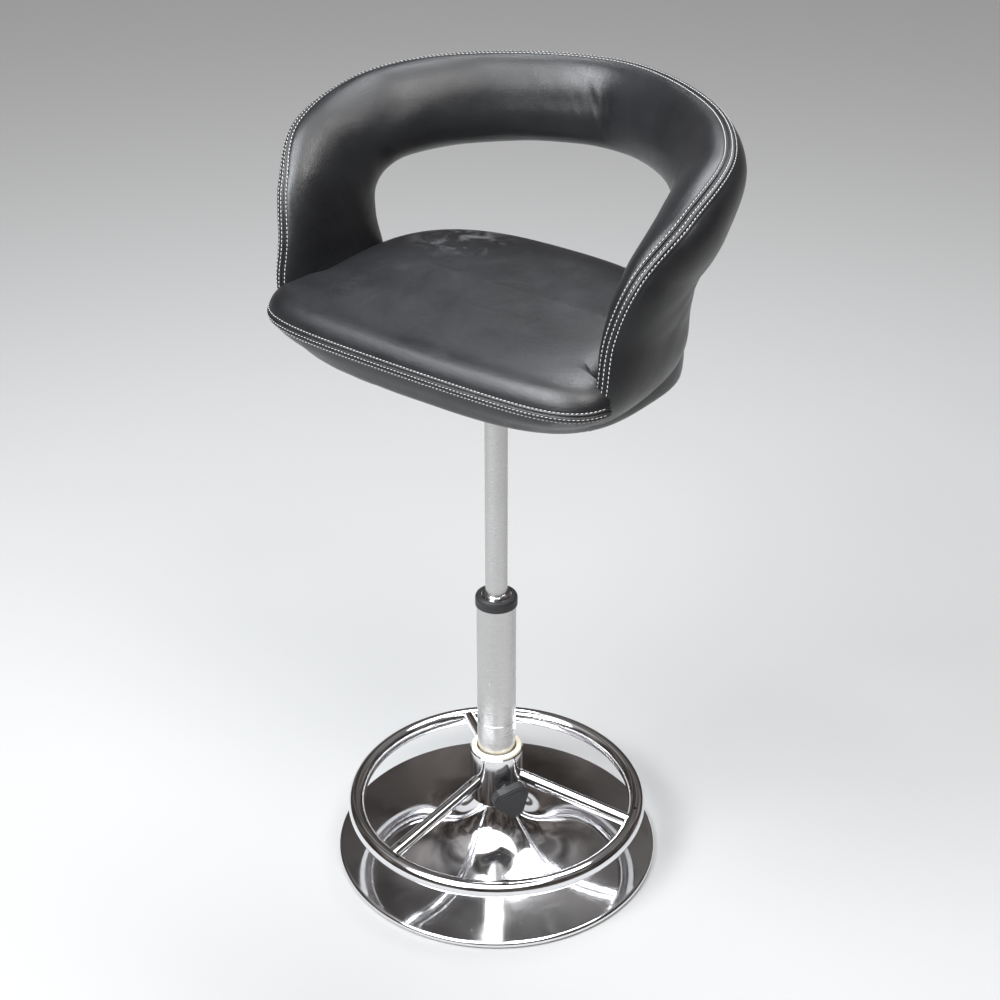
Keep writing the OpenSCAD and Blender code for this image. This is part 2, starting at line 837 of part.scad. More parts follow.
// Upholstered seat: rings of the plan outline as [share, height, tuck], crowned on top, hollow below for the board.
recess_h = (board_z + board_t + gap - seat_z) * 82 / (crown_z - seat_z);
seat_profile = [[0.2, recess_h, 1], [recess_share, recess_h, 1], [recess_share, 0, 1],
                [0.965, 0, 1], [0.992, 6, 0.9], [1, 16, 0.6], [1, 28, 0.22], [1, 42, 0],
                [0.99, 52, 0], [0.96, 64, 0], [0.905, 74, 0],
                [0.77, 80, 0], [0.5, 82, 0], [0.2, 82, 0]];
function seat_ring(share, h, waist, tuck, step) =
  let (z = h / 82 * (crown_z - seat_z), lift = clamp01((h - recess_h) / 24))
  [for (a = [0:4:356])
     let (p = seat_plan(a, waist, tuck, step) * share,
          back = clamp01((p[1] + seat_front) / (seat_front + seat_rear)),
          sag = 10 * (1 - pow(p[0] / half_w, 2)) * clamp01(-p[1] / seat_front))
     [p[0], p[1], seat_z + z + lift * (seat_rise * back - sag)]];

module seat_cushion() {
  color("#1a1a1d")
    skin([for (i = [0:len(seat_profile) - 1])
            let (k = seat_profile[i], z = seat_z + k[1] / 82 * (crown_z - seat_z))
            seat_ring(k[0], k[1], arm_inner(i < 3 ? board_z : z), k[2], i < 3 ? board_step : 5)]);
}

module loop_back() {
  steps = 64;
  color("#1a1a1d")
    difference() {
      skin([for (i = [0:steps]) loop_ring(i / steps, 0, 20)]);
      frame_cavity();
    }
}

// Room for the steel tube inside the padding, open at both feet.
module frame_cavity() {
  sides = 12;
  turns = 56;
  rings = [for (i = [-1:turns + 1])
             let (t = i / turns, m = loop_mid(clamp01(t)), d = loop_dir(clamp01(t)),
                  below = t < 0 || t > 1 ? [0, 0, -4] : [0, 0, 0],
                  u = unit(cross(d, [d[1], -d[0], 0.01])), v = cross(d, u))
             [for (k = [0:sides - 1])
                stand(m + (frame_d / 2 + 1.8) * (cos(360 * k / sides) * u + sin(360 * k / sides) * v), t)
                + below]];
  skin(rings);
}

floor_pad();
ballast_plate();
base_cover();
stem_socket();
column_tube();
column_floor();
guide_bush();
wiper_ring();
lower_race();
ball_cage();
rod_clip();
piston_rod();
piston_head();
piston_seal();
upper_race();
rubber_bumper();
lower_bush();
upper_bush();
ring_hub();
ring_spokes();
foot_ring();
clamp_boss();
clamp_pad();
clamp_stud();
clamp_knob();
pressure_tube();
rod_gland();
rod_seal();
taper_socket();
mounting_plate();
plate_bolts();
plate_washers();
lever_bracket();
lever_pin();
gas_lever();
lever_grip();
valve_pin();
seat_board();
underside_cover();
board_nuts();
back_frame();
frame_brackets();
bracket_screws();
seat_cushion();
loop_back();
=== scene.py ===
"""Looks of the counter stool: leather loop and seat with stitched seams, polished base and foot ring.

Everything is in metres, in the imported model's own frame: +Z up, the seat faces -Y,
the sitter's left is +X.
"""
import json
import math

import bpy
import numpy as np
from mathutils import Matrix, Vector


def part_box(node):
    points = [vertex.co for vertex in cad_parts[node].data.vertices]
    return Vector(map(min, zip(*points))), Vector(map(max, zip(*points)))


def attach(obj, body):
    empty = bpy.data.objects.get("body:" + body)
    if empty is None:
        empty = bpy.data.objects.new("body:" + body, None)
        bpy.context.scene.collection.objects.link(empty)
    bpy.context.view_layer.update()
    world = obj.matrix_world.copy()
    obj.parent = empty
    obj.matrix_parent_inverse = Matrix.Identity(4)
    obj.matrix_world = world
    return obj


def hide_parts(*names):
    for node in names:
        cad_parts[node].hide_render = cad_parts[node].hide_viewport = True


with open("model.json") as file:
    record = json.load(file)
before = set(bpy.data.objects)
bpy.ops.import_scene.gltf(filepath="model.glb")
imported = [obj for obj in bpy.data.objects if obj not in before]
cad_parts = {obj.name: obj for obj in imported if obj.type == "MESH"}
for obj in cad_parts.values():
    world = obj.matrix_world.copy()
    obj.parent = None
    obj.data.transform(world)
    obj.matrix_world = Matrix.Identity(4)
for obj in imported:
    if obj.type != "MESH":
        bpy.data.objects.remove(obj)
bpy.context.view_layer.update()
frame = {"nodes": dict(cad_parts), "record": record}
nodes = frame["nodes"]
scene = bpy.context.scene
MM = 0.001


# ---- driving sizes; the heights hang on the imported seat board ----
board_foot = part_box("seat_board")[0][2]
HALF_W = 246 * MM                       # half the width across the seat's front corners
WING_TUCK = 42 * MM                     # how far the wings draw in at their lower edge
FRONT_TUCK = 12 * MM                    # how far the front draws in there
SEAT_FRONT = 162 * MM
SEAT_REAR = 152 * MM
FRONT_BOW = 5 * MM
SEAT_Z = board_foot + 1 * MM            # lower edge of the upholstery
FOOT_Z = board_foot + 4 * MM
LOOP_TOP = board_foot + 293 * MM
LOOP_BACK = 238 * MM
BAND_H = 101 * MM
ARM_Y = -SEAT_FRONT + 46 * MM
BASE_R, NECK_R, NECK_H = 212 * MM, 28 * MM, 82 * MM
RIM_H, LIP_R, COLLAR_H, COLLAR_OUT, COVER_T = 9 * MM, 4.5 * MM, 3 * MM, 2 * MM, 1.5 * MM
FLARE_END = BASE_R - LIP_R              # where the flare meets the rim
FLARE_SOFT = 5 * MM                     # shifts the hyperbola that draws the flare
SEAT_WAIST = 221 * MM                   # half width behind the wings, a little way into the arms
CROWN_HALF_W = 226 * MM                 # half width of the plain outline that the crown fades into


# ---- camera, floor and light ----
def make_camera():
    """Camera at the height, distance and turn of the reference view."""
    turn = math.radians(38.2)
    tilt = math.radians(29.0)
    side, away, height = 4.5 * MM, -1.939, 1.600
    cam = bpy.data.objects.new("camera", bpy.data.cameras.new("camera"))
    scene.collection.objects.link(cam)
    cam.location = (side * math.cos(turn) - away * math.sin(turn),
                    side * math.sin(turn) + away * math.cos(turn), height)
    cam.rotation_euler = (math.pi / 2 - tilt, 0, turn)
    cam.data.sensor_width = 36
    cam.data.lens = 65.8
    cam.data.clip_end = 100
    scene.camera = cam
    return turn


def direction(azimuth, elevation):
    """Unit vector at that azimuth in degrees (0 is towards the camera) and elevation."""
    a, e = CAMERA_TURN + math.radians(azimuth), math.radians(elevation)
    return Vector((math.sin(a) * math.cos(e), -math.cos(a) * math.cos(e), math.sin(e)))


def add_light(name, data):
    light = bpy.data.objects.new(name, data)
    scene.collection.objects.link(light)
    return light


def area_light(name, azimuth, elevation, distance, size, power, colour, aim):
    """A soft box that shines on the aim point from that azimuth and elevation."""
    data = bpy.data.lights.new(name, "AREA")
    data.shape = "ELLIPSE"
    data.size, data.size_y = size
    data.energy = power
    data.color = colour
    light = add_light(name, data)
    aim = Vector(aim)
    light.location = aim + distance * direction(azimuth, elevation)
    light.rotation_euler = (aim - light.location).to_track_quat("-Z", "Y").to_euler()


def sky_light(name, azimuth, elevation, power, spread):
    """Even light from one side of the sky, so that the far floor is as bright as the near one."""
    data = bpy.data.lights.new(name, "SUN")
    data.energy = power
    data.angle = math.radians(spread)
    light = add_light(name, data)
    light.rotation_euler = direction(azimuth, elevation).to_track_quat("Z", "Y").to_euler()


def ramp_node(tree, stops):
    """Colour ramp with these stops, each a place and a colour."""
    node = tree.nodes.new("ShaderNodeValToRGB")
    elements = node.color_ramp.elements
    while len(elements) < len(stops):
        elements.new(0.5)
    for element, (place, colour) in zip(elements, stops):
        element.position = place
        element.color = (*colour, 1)
    return node


def make_world():
    """A plain pale backdrop, and a grey-brown room with a lighter ceiling that the metal mirrors."""
    world = bpy.data.worlds.new("room")
    scene.world = world
    world.use_nodes = True
    tree = world.node_tree
    tree.nodes.clear()
    out = tree.nodes.new("ShaderNodeOutputWorld")
    back = tree.nodes.new("ShaderNodeBackground")
    coord = tree.nodes.new("ShaderNodeTexCoord")
    split = tree.nodes.new("ShaderNodeSeparateXYZ")
    height = ramp_node(tree, [(0.0, (0.80, 0.79, 0.78)), (0.47, (0.70, 0.69, 0.68)),
                              (0.51, (0.085, 0.075, 0.068)), (0.66, (0.115, 0.102, 0.094)),
                              (0.80, (0.17, 0.16, 0.155)), (0.90, (0.30, 0.30, 0.305)),
                              (1.0, (0.42, 0.42, 0.43))])
    spread = tree.nodes.new("ShaderNodeMapRange")
    spread.inputs["From Min"].default_value = -1
    tree.links.new(coord.outputs["Generated"], split.inputs[0])
    tree.links.new(split.outputs["Z"], spread.inputs["Value"])
    tree.links.new(spread.outputs["Result"], height.inputs["Fac"])
    blotches = tree.nodes.new("ShaderNodeTexNoise")
    blotches.inputs["Scale"].default_value = 3.2
    blotches.inputs["Detail"].default_value = 3
    blotches.inputs["Distortion"].default_value = 0.8
    uneven = ramp_node(tree, [(0.36, (0.35, 0.33, 0.32)), (0.5, (0.9, 0.88, 0.87)),
                              (0.66, (2.3, 2.2, 2.15))])
    product = tree.nodes.new("ShaderNodeMix")
    product.data_type = "RGBA"
    product.blend_type = "MULTIPLY"
    product.inputs[0].default_value = 1
    tree.links.new(coord.outputs["Generated"], blotches.inputs["Vector"])
    tree.links.new(blotches.outputs["Fac"], uneven.inputs["Fac"])
    tree.links.new(height.outputs["Color"], product.inputs[6])
    tree.links.new(uneven.outputs["Color"], product.inputs[7])
    tree.links.new(product.outputs[2], back.inputs["Color"])
    back.inputs["Strength"].default_value = 0.62
    plain = tree.nodes.new("ShaderNodeBackground")
    plain.inputs["Color"].default_value = (0.62, 0.62, 0.63, 1)
    seen = tree.nodes.new("ShaderNodeLightPath")
    choose = tree.nodes.new("ShaderNodeMixShader")
    tree.links.new(seen.outputs["Is Camera Ray"], choose.inputs[0])
    tree.links.new(back.outputs[0], choose.inputs[1])
    tree.links.new(plain.outputs[0], choose.inputs[2])
    tree.links.new(choose.outputs[0], out.inputs[0])


def make_floor():
    """Plain pale floor under the stool."""
    mesh = bpy.data.meshes.new("floor")
    reach = 14.0
    mesh.from_pydata([(-reach, -reach, 0), (reach, -reach, 0), (reach, reach, 0), (-reach, reach, 0)],
                     [], [(0, 1, 2, 3)])
    floor = bpy.data.objects.new("floor", mesh)
    scene.collection.objects.link(floor)
    mat = bpy.data.materials.new("floor_paper")
    mat.use_nodes = True
    bsdf = mat.node_tree.nodes["Principled BSDF"]
    bsdf.inputs["Base Color"].default_value = (0.36, 0.36, 0.36, 1)
    bsdf.inputs["Roughness"].default_value = 0.75
    bsdf.inputs["Specular IOR Level"].default_value = 0.2
    mesh.materials.append(mat)


CAMERA_TURN = make_camera()
make_world()
make_floor()
area_light("key", -62, 46, 2.4, (1.2, 1.8), 95, (0.93, 0.965, 1.0), (0, 0, 0.85))
area_light("back", 150, 62, 2.3, (1.9, 1.0), 62, (0.94, 0.97, 1.0), (0, 0, 0.85))
area_light("front", 28, 55, 2.6, (1.2, 0.9), 40, (1.0, 0.98, 0.96), (0, 0, 0.8))
area_light("brow", -38, 28, 2.6, (1.5, 0.8), 48, (0.96, 0.98, 1.0), (0, 0.1, 0.93))
sky_light("daylight", -20, 72, 2.0, 60)
scene.view_settings.view_transform = "Standard"


# ---- materials ----
class Shader:
    """A Principled material with short helpers for its procedural nodes."""

    def __init__(self, name, **values):
        self.mat = bpy.data.materials.new(name)
        self.mat.use_nodes = True
        self.tree = self.mat.node_tree
        self.bsdf = self.tree.nodes["Principled BSDF"]
        self.coord = self.tree.nodes.new("ShaderNodeTexCoord").outputs["Object"]
        self.normal = None
        for socket, value in values.items():
            self.bsdf.inputs[socket.replace("_", " ")].default_value = value

    def mapped(self, scale):
        node = self.tree.nodes.new("ShaderNodeMapping")
        node.inputs["Scale"].default_value = scale
        self.tree.links.new(self.coord, node.inputs["Vector"])
        return node.outputs["Vector"]

    def noise(self, scale, detail=3.0, rough=0.5, vector=None, distortion=0.0):
        node = self.tree.nodes.new("ShaderNodeTexNoise")
        node.inputs["Scale"].default_value = scale
        node.inputs["Detail"].default_value = detail
        node.inputs["Roughness"].default_value = rough
        node.inputs["Distortion"].default_value = distortion
        self.tree.links.new(vector or self.coord, node.inputs["Vector"])
        return node.outputs["Fac"]

    def cells(self, scale):
        """Distance to the edges of irregular cells."""
        node = self.tree.nodes.new("ShaderNodeTexVoronoi")
        node.feature = "DISTANCE_TO_EDGE"
        node.inputs["Scale"].default_value = scale
        self.tree.links.new(self.coord, node.inputs["Vector"])
        return node.outputs["Distance"]

    def remap(self, value, low, high, out_low, out_high):
        node = self.tree.nodes.new("ShaderNodeMapRange")
        node.inputs["From Min"].default_value = low
        node.inputs["From Max"].default_value = high
        node.inputs["To Min"].default_value = out_low
        node.inputs["To Max"].default_value = out_high
        self.tree.links.new(value, node.inputs["Value"])
        return node.outputs["Result"]

    def math(self, operation, a, b):
        node = self.tree.nodes.new("ShaderNodeMath")
        node.operation = operation
        for socket, value in zip(node.inputs, (a, b)):
            if isinstance(value, (int, float)):
                socket.default_value = value
            else:
                self.tree.links.new(value, socket)
        return node.outputs[0]

    def mix(self, factor, a, b):
        node = self.tree.nodes.new("ShaderNodeMix")
        node.data_type = "RGBA"
        for socket, value in ((node.inputs[0], factor), (node.inputs[6], a), (node.inputs[7], b)):
            if isinstance(value, tuple):
                socket.default_value = (*value, 1)
            elif isinstance(value, (int, float)):
                socket.default_value = value
            else:
                self.tree.links.new(value, socket)
        return node.outputs[2]

    def bump(self, height, distance, strength=1.0):
        node = self.tree.nodes.new("ShaderNodeBump")
        node.inputs["Distance"].default_value = distance
        node.inputs["Strength"].default_value = strength
        self.tree.links.new(height, node.inputs["Height"])
        if self.normal is not None:
            self.tree.links.new(self.normal, node.inputs["Normal"])
        self.normal = node.outputs["Normal"]
        self.tree.links.new(self.normal, self.bsdf.inputs["Normal"])

    def link(self, value, socket):
        self.tree.links.new(value, self.bsdf.inputs[socket])

    def near(self, centre, radius):
        """1 at the centre, falling to 0 at that radius from it."""
        node = self.tree.nodes.new("ShaderNodeVectorMath")
        node.operation = "DISTANCE"
        self.tree.links.new(self.coord, node.inputs[0])
        node.inputs[1].default_value = centre
        return self.remap(node.outputs["Value"], 0, radius, 1, 0)


def leather():
    """Black semi-gloss upholstery leather: fine pebble grain, faint dust where it is used."""
    s = Shader("black_leather", Specular_IOR_Level=0.45, Sheen_Weight=0.02, Sheen_Roughness=0.5)
    pebble = s.cells(620)
    pores = s.noise(1500, 2, 0.6)
    tone = s.noise(9, 4, 0.6)
    mottled = s.mix(s.remap(tone, 0.35, 0.7, 0, 1), (0.0045, 0.0047, 0.0055), (0.010, 0.0105, 0.012))
    dust = s.math("MULTIPLY", s.near((-0.115, 0.085, 0.805), 0.075),
                  s.remap(s.noise(34, 6, 0.62, distortion=0.6), 0.5, 0.68, 0, 1))
    spots = s.math("MULTIPLY", s.near((-0.145, 0.13, 0.80), 0.05),
                   s.remap(s.noise(90, 4, 0.6), 0.52, 0.66, 0, 1))
    scuffed = s.math("ADD", s.math("MULTIPLY", dust, 0.55), s.math("MULTIPLY", spots, 0.6))
    scuffed = s.math("MINIMUM", scuffed, 1.0)
    s.link(s.mix(scuffed, mottled, (0.17, 0.17, 0.175)), "Base Color")
    rough = s.remap(s.noise(26, 5, 0.65), 0.3, 0.75, 0.30, 0.42)
    s.link(s.math("MINIMUM", s.math("ADD", rough, s.math("MULTIPLY", scuffed, 0.25)), 1.0), "Roughness")
    s.bump(s.noise(45, 4, 0.6), 0.0012, 0.22)
    s.bump(pebble, 0.00045, 0.5)
    s.bump(pores, 0.00012, 0.25)
    return s.mat


def thread():
    """White upholstery thread."""
    s = Shader("white_thread", Roughness=0.7, Specular_IOR_Level=0.25)
    s.link(s.mix(s.noise(120, 3), (0.40, 0.395, 0.39), (0.60, 0.59, 0.585)), "Base Color")
    s.bump(s.noise(2600, 2), 0.0001, 0.4)
    return s.mat


def chrome():
    """Polished chrome plate with faint ripples, smears and a few dull specks."""
    s = Shader("chrome", Metallic=1.0)
    smears = s.noise(14, 5, 0.6, distortion=0.8)
    specks = s.remap(s.noise(240, 3, 0.7), 0.66, 0.74, 0, 1)
    s.link(s.mix(s.math("MULTIPLY", specks, 0.4), (0.86, 0.86, 0.875), (0.42, 0.38, 0.35)), "Base Color")
    rough = s.remap(smears, 0.35, 0.7, 0.035, 0.13)
    s.link(s.math("ADD", rough, s.math("MULTIPLY", specks, 0.18)), "Roughness")
    s.bump(s.noise(6, 3, 0.5, distortion=0.4), 0.004, 0.12)
    return s.mat


def satin_chrome():
    """Drawn tube under satin chrome: even, with faint rings left by the polishing wheel."""
    s = Shader("satin_chrome", Metallic=1.0)
    rings = s.noise(60, 4, 0.6, vector=s.mapped((1, 1, 30)))
    s.link(s.mix(s.noise(12, 3), (0.50, 0.495, 0.49), (0.60, 0.595, 0.59)), "Base Color")
    s.link(s.remap(rings, 0.3, 0.7, 0.26, 0.31), "Roughness")
    return s.mat


def plain_metal(name, dark, light, rough_low, rough_high, metallic=1.0):
    """Bare or painted metal, a little uneven in tone and gloss."""
    s = Shader(name, Metallic=metallic)
    s.link(s.mix(s.noise(45, 4), dark, light), "Base Color")
    s.link(s.remap(s.noise(180, 4, 0.6), 0.3, 0.7, rough_low, rough_high), "Roughness")
    s.bump(s.noise(900, 2), 0.0001, 0.2)
    return s.mat


def moulded(name, dark, light, rough_low, rough_high, grain=900, subsurface=0.0):
    """Moulded plastic or rubber with a fine spark-eroded texture."""
    s = Shader(name, Subsurface_Weight=subsurface)
    s.bsdf.inputs["Subsurface Scale"].default_value = 0.002
    s.link(s.mix(s.noise(60, 4), dark, light), "Base Color")
    s.link(s.remap(s.noise(120, 4, 0.6), 0.3, 0.7, rough_low, rough_high), "Roughness")
    s.bump(s.noise(grain, 3, 0.6), 0.00018, 0.35)
    return s.mat


def plywood():
    """Birch plies on edge, with a long grain across the faces."""
    s = Shader("plywood", Roughness=0.62)
    plies = s.noise(30, 4, 0.6, vector=s.mapped((1, 1, 30)))
    grain = s.noise(24, 6, 0.6, vector=s.mapped((1, 14, 1)), distortion=0.6)
    s.link(s.mix(s.math("MULTIPLY", plies, grain), (0.62, 0.44, 0.26), (0.30, 0.19, 0.10)), "Base Color")
    s.bump(grain, 0.0003, 0.4)
    return s.mat


def liner():
    """Black non-woven dust cover: crossed fibres."""
    s = Shader("black_liner", Roughness=0.95, Sheen_Weight=0.3)
    fibres = s.math("MAXIMUM", s.noise(300, 3, 0.7, vector=s.mapped((1, 6, 1))),
                    s.noise(300, 3, 0.7, vector=s.mapped((6, 1, 1))))
    s.link(s.mix(fibres, (0.010, 0.010, 0.011), (0.045, 0.045, 0.048)), "Base Color")
    s.bump(fibres, 0.0003, 0.6)
    return s.mat


materials = {
    "chrome": chrome(),
    "satin_chrome": satin_chrome(),
    "raw_steel": plain_metal("raw_steel", (0.22, 0.21, 0.20), (0.42, 0.41, 0.40), 0.4, 0.65),
    "bearing_steel": plain_metal("bearing_steel", (0.55, 0.55, 0.56), (0.72, 0.72, 0.73), 0.18, 0.35),
    "spring_steel": plain_metal("spring_steel", (0.05, 0.05, 0.055), (0.10, 0.10, 0.11), 0.35, 0.5),
    "black_paint": plain_metal("black_paint", (0.012, 0.012, 0.013), (0.022, 0.022, 0.024),
                               0.32, 0.5, metallic=0.0),
    "brass": plain_metal("brass", (0.55, 0.40, 0.18), (0.78, 0.60, 0.30), 0.22, 0.4),
    "rubber": moulded("rubber", (0.012, 0.012, 0.012), (0.022, 0.022, 0.022), 0.75, 0.92),
    "black_plastic": moulded("black_plastic", (0.012, 0.012, 0.013), (0.024, 0.024, 0.026), 0.42, 0.6),
    "cream_nylon": moulded("cream_nylon", (0.70, 0.66, 0.52), (0.83, 0.79, 0.66), 0.35, 0.5, 500, 0.3),
    "plywood": plywood(),
    "black_liner": liner(),
    "pad_foam": moulded("pad_foam", (0.015, 0.015, 0.015), (0.035, 0.035, 0.035), 0.85, 0.98, 1400),
    "black_leather": leather(),
    "thread": thread(),
}
slot_of = {part["node"]: part["material_slot"] for part in frame["record"]["subparts"]}
for name, node in nodes.items():
    node.data.materials.clear()
    node.data.materials.append(materials[slot_of[name]])


# ---- curves that the upholstery follows: the same edges as the CAD solids ----
def spline(points, t):
    """Smooth curve through the points, for an array t from 0 to 1."""
    points = np.asarray(points, float)
    n = len(points) - 1
    padded = np.vstack([2 * points[0] - points[1], points, 2 * points[-1] - points[-2]])
    u = np.clip(t, 0, 1) * n
    i = np.minimum(u.astype(int), n - 1)
    f = (u - i)[:, None]
    a, b, c, d = padded[i], padded[i + 1], padded[i + 2], padded[i + 3]
    return 0.5 * (2 * b + (c - a) * f + (2 * a - 5 * b + 4 * c - d) * f ** 2
                  + (3 * b - a - 3 * c + d) * f ** 3)


def mirrored(points):
    """The points, then the same on the other side, back to the other foot."""
    points = np.asarray(points, float)
    return np.vstack([points, (points[:-1] * [-1, 1, 1])[::-1]])


def signed_power(v, p):
    """Superellipse: power of a cosine or sine that keeps its sign."""
    return np.sign(v) * np.abs(v) ** p


def unit(v):
    return v / np.linalg.norm(v, axis=-1, keepdims=True)


# Distance past the seat's half width in mm, share of the way back, share of the rise.
EDGE_FRONT = [[-46, 0.05, 0], [-18, 0, 0.174], [-15, 0.028, 0.396], [1, 0.09, 0.611],
              [24, 0.243, 0.806], [6, 0.542, 0.934], [-86, 0.819, 0.99], [-246, 1, 1]]
EDGE_REAR = [[-64, 0.45, 0], [-33, 0.495, 0.283], [-24, 0.47, 0.577], [-26, 0.474, 0.78],
             [-43, 0.576, 0.914], [-86, 0.749, 0.968], [-161, 0.922, 0.995], [-246, 0.994, 1]]
PAD_IN = [18, 22, 24, 28, 32, 32, 29, 27]
PAD_OUT = [11, 26, 31, 36, 42, 36, 26, 22]


def edge_points(shares, top, back):
    """A guiding edge of the loop, from its listed half, for this height and depth."""
    return mirrored([[HALF_W + x * MM, ARM_Y + y * (back - ARM_Y), FOOT_Z + z * (top - FOOT_Z)]
                     for x, y, z in shares])


TOP_EDGE = edge_points(EDGE_FRONT, LOOP_TOP, LOOP_BACK)
LOW_EDGE = edge_points(EDGE_REAR, LOOP_TOP - BAND_H, LOOP_BACK - 20 * MM)


def thickness(values, t):
    """Padding at t from the listed half, in mm."""
    return spline(mirrored([[0, v * MM, 0] for v in values]), t)[:, 1:2]


def resample(curve, places):
    """Points of each closed section (a row of curve) at these distances from its first point,
    and the length round each section."""
    closed = np.concatenate([curve, curve[:, :1]], axis=1)
    step = np.linalg.norm(np.diff(closed, axis=1), axis=2)
    along = np.concatenate([np.zeros((len(curve), 1)), np.cumsum(step, axis=1)], axis=1)
    out = np.empty((len(curve), places.shape[1], 3))
    for i in range(len(curve)):
        where = np.mod(places[i], along[i, -1])
        for k in range(3):
            out[i, :, k] = np.interp(where, along[i], closed[i, :, k])
    return out, along[:, -1]


def mesh_object(name, points, faces, material):
    """Smooth-shaded object from world points."""
    mesh = bpy.data.meshes.new(name)
    mesh.from_pydata([tuple(p) for p in points], [], faces)
    mesh.materials.append(material)
    mesh.polygons.foreach_set("use_smooth", [True] * len(mesh.polygons))
    mesh.update()
    obj = bpy.data.objects.new(name, mesh)
    scene.collection.objects.link(obj)
    return obj


def grid_faces(rows, columns, closed_columns=True, closed_rows=False):
    """Quads of a grid of points, joined up along its columns or rows where it is closed."""
    faces = []
    for i in range(rows if closed_rows else rows - 1):
        for j in range(columns if closed_columns else columns - 1):
            k = (j + 1) % columns
            m = (i + 1) % rows
            faces.append((i * columns + j, i * columns + k, m * columns + k, m * columns + j))
    return faces


# ---- stitched seam: where the rows, the groove and the raised strip lie across it ----
STITCH_ROWS = (-6.0 * MM, 0.8 * MM, 6.6 * MM)     # distances across the seam, on from the plain panel
GROOVE = -2.4 * MM
STRIP = (-1.2 * MM, 8.4 * MM)
STITCH_PITCH = 4.9 * MM
STITCH_LENGTH = 0.74 * STITCH_PITCH
THREAD_R = 0.44 * MM
SEAM_STEP = 0.6 * MM                    # spacing of the mesh across the seam


def bell(s, centre, width):
    """1 at the centre, falling off on both sides."""
    return np.exp(-((s - centre) / width) ** 2)


def seam_height(s):
    """How far the leather stands proud at distance s across the seam."""
    height = -1.5 * MM * bell(s, GROOVE, 0.75 * MM)
    rise = 1 / (1 + np.exp(-(s - STRIP[0]) / (0.35 * MM)))
    fall = 1 / (1 + np.exp((s - STRIP[1]) / (0.45 * MM)))
    height = height + 0.9 * MM * rise * fall
    height = height + 0.55 * MM * bell(s, 3.7 * MM, 1.7 * MM) + 0.45 * MM * bell(s, -4.0 * MM, 0.9 * MM)
    for row in STITCH_ROWS:
        height = height - 0.55 * MM * bell(s, row, 0.9 * MM)
    return height


def stitches(name, lines, normals, material):
    """Short threads laid end to end along each line, with their ends sunk in the leather."""
    points, faces = [], []
    sides, rings = 6, 5
    for line, normal in zip(lines, normals):
        step = np.linalg.norm(np.diff(line, axis=0), axis=1)
        along = np.concatenate([[0], np.cumsum(step)])
        count = int(along[-1] / STITCH_PITCH)
        for c in range(count):
            s = (c + 0.5) * STITCH_PITCH
            at = np.array([np.interp(s, along, line[:, k]) for k in range(3)])
            ahead = np.array([np.interp(s + 0.5 * MM, along, line[:, k]) for k in range(3)])
            up = unit(np.array([np.interp(s, along, normal[:, k]) for k in range(3)]))
            forward = unit(ahead - at)
            side = unit(np.cross(up, forward))
            forward = unit(forward + side * 0.10)
            base = len(points)
            for r in range(rings):
                f = -1 + 2 * r / (rings - 1)
                size = THREAD_R * math.sqrt(max(0.05, 1 - 0.92 * f ** 4))
                centre = at + forward * f * STITCH_LENGTH / 2 + up * (0.42 * MM - 0.55 * MM * f ** 4)
                for k in range(sides):
                    a = 2 * math.pi * k / sides
                    points.append(centre + size * (math.cos(a) * side + 0.8 * math.sin(a) * up))
            for r in range(rings - 1):
                for k in range(sides):
                    m = (k + 1) % sides
                    faces.append((base + r * sides + k, base + r * sides + m,
                                  base + (r + 1) * sides + m, base + (r + 1) * sides + k))
            faces.append(tuple(base + k for k in range(sides - 1, -1, -1)))
            faces.append(tuple(base + (rings - 1) * sides + k for k in range(sides)))
    return mesh_object(name, points, faces, material)


def stitched_rows(name, grid, normal, run, columns):
    """Stitches along these columns of a leather's grid, over the rows that run picks."""
    return stitches(name, [grid[run, j] for j in columns], [normal[run, j] for j in columns],
                    materials["thread"])


def row_columns(fine):
    """Where the rows of stitches lie in the fine steps across the seam."""
    return [int(np.argmin(abs(fine - row))) for row in STITCH_ROWS]


def surface_normals(grid):
    """Outward unit normals of a grid of points whose rows run along the seam."""
    along = np.gradient(grid, axis=0)
    across = (np.roll(grid, -1, axis=1) - np.roll(grid, 1, axis=1))
    return unit(np.cross(across, along))


# ---- loop back ----
def loop_sections(t, samples=720):
    """Plain rounded sections of the padded band, starting at the seam and going over the outer side."""
    top, low = spline(TOP_EDGE, t), spline(LOW_EDGE, t)
    half = (top - low) / 2
    middle = (top + low) / 2
    ahead = (spline(TOP_EDGE, t + 0.004) + spline(LOW_EDGE, t + 0.004)) / 2
    behind = (spline(TOP_EDGE, t - 0.004) + spline(LOW_EDGE, t - 0.004)) / 2
    out = unit(np.cross(unit(ahead - behind), half))
    angle = np.linspace(0, 2 * math.pi, samples, endpoint=False)
    c, s = signed_power(np.cos(angle), 0.87), signed_power(np.sin(angle), 0.87)
    side = np.where(s[None, :] > 0, thickness(PAD_OUT, t), thickness(PAD_IN, t))
    rings = (middle[:, None] + half[:, None] * c[None, :, None]
             + out[:, None] * (s[None, :] * side)[:, :, None])
    lean = unit(ahead - behind)
    for i in (0, len(t) - 1):
        rings[i] += lean[i] * ((FOOT_Z - rings[i][:, 2]) / lean[i][2])[:, None]
    return rings


